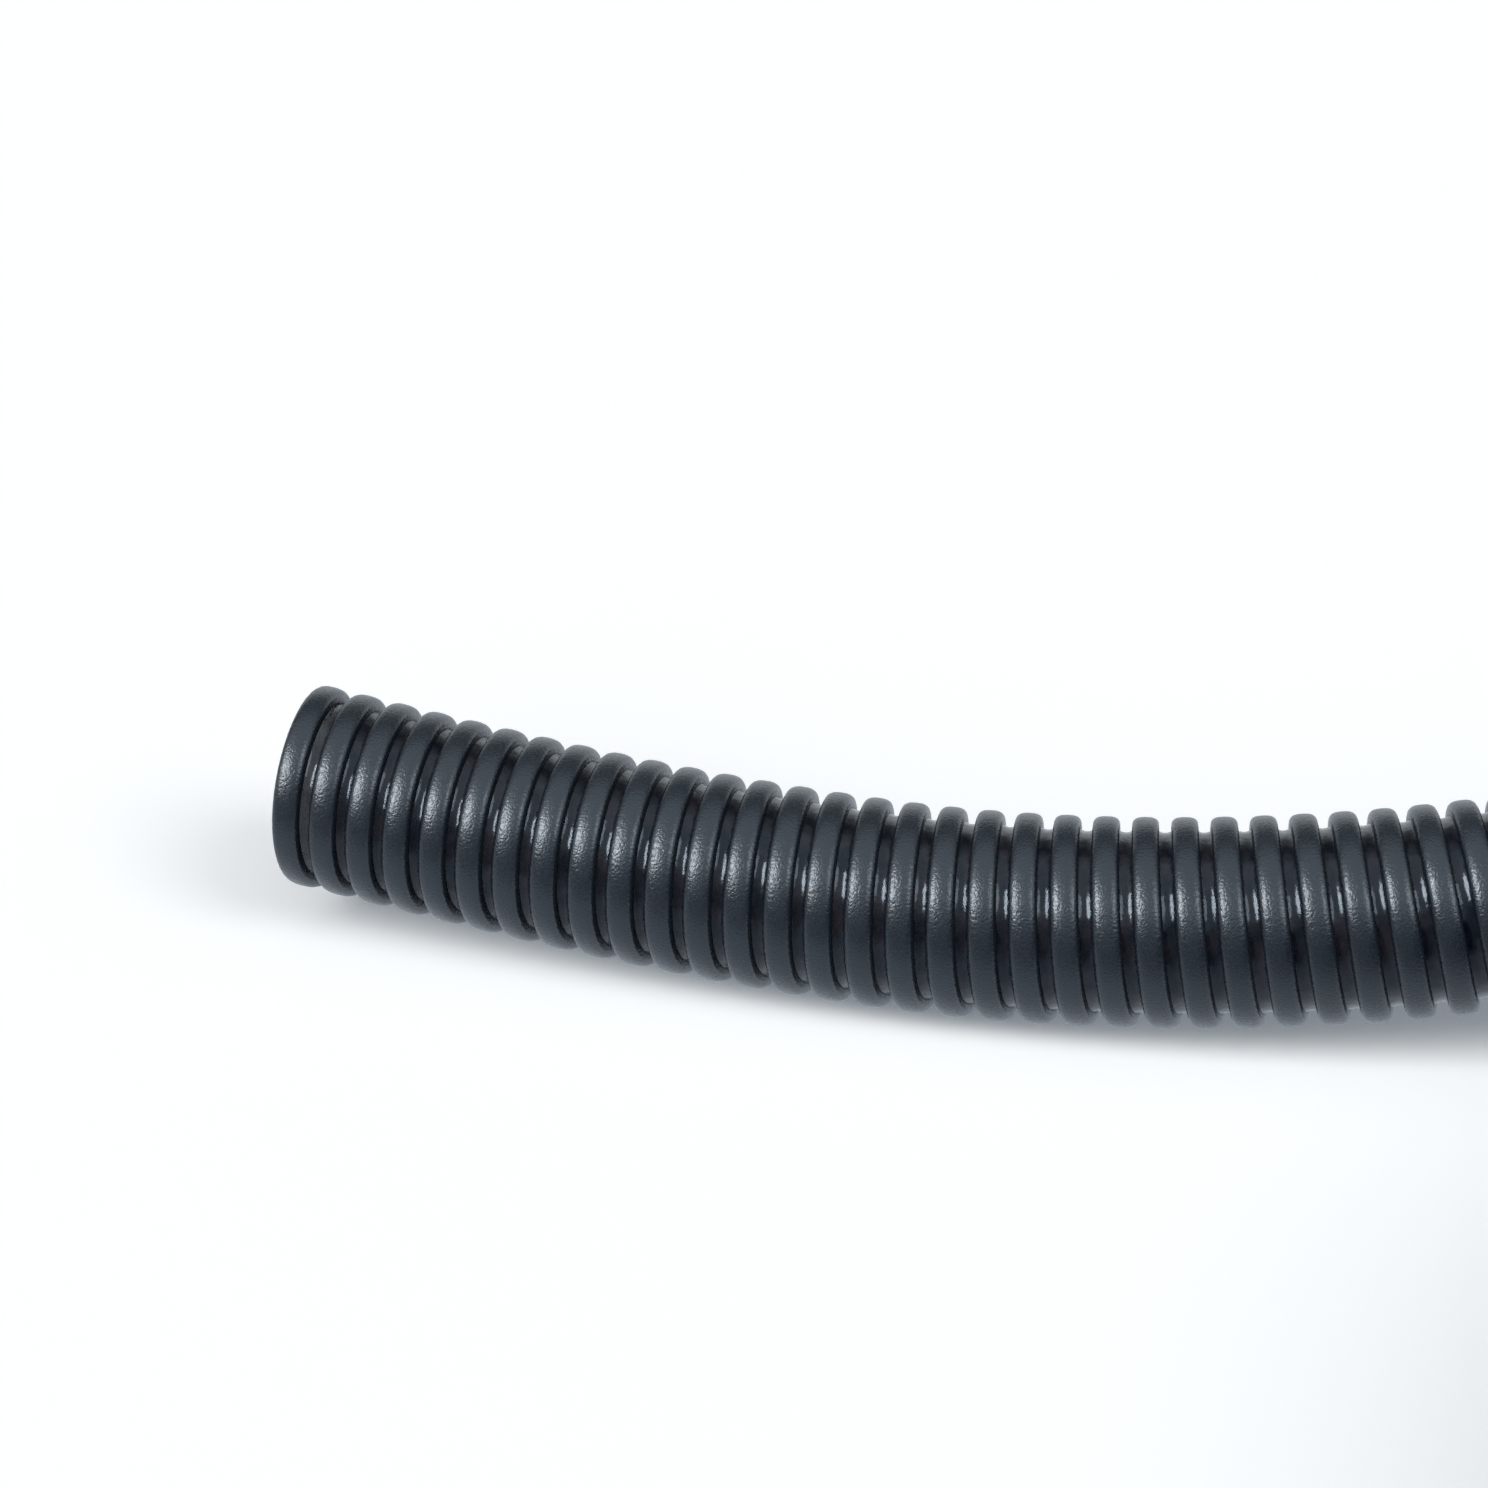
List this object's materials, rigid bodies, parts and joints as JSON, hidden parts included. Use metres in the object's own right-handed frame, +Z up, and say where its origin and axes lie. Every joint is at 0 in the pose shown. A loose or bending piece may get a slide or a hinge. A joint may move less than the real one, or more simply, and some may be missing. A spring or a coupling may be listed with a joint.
{
  "type": "pool vacuum hose",
  "caption": "Ribbed pool vacuum hose: a rigid spiral bonded on a clear smoky wall, with a plain cut end, a strapped storage coil and a swivel cuff.",
  "frame": {"origin": "on the floor, under the middle of the whole part's bounding box", "axes": "+Z up from the floor; +X from the free end towards the storage coil; +Y away from the cuff, towards the free run"},
  "size_m": [0.8438, 0.5989, 0.0968],
  "materials": {
    "rib_plastic": "satin",
    "wall_film": "gloss",
    "cuff_plastic": "satin",
    "seal_rubber": "matte",
    "ring_plastic": "satin",
    "strap_fabric": "woven"
  },
  "bodies": {
    "hose": {"hose_wall": "wall_film", "spiral_rib": "rib_plastic", "hose_coil": "rib_plastic", "tail_wall": "wall_film", "tail_rib": "rib_plastic", "coil_strap_front": "strap_fabric", "coil_strap_back": "strap_fabric", "coil_strap_right": "strap_fabric", "cuff_sleeve": "cuff_plastic", "cuff_seal": "seal_rubber"},
    "cuff": {"swivel_cuff": "cuff_plastic", "cuff_retaining_ring": "ring_plastic"}
  },
  "joints": [
    {"name": "cuff_swivel", "type": "hinge", "parent": "hose", "child": "cuff", "pos_m": [-0.0605, -0.2695, 0.03045], "axis": [-1, 0, 0], "continuous": true}
  ]
}
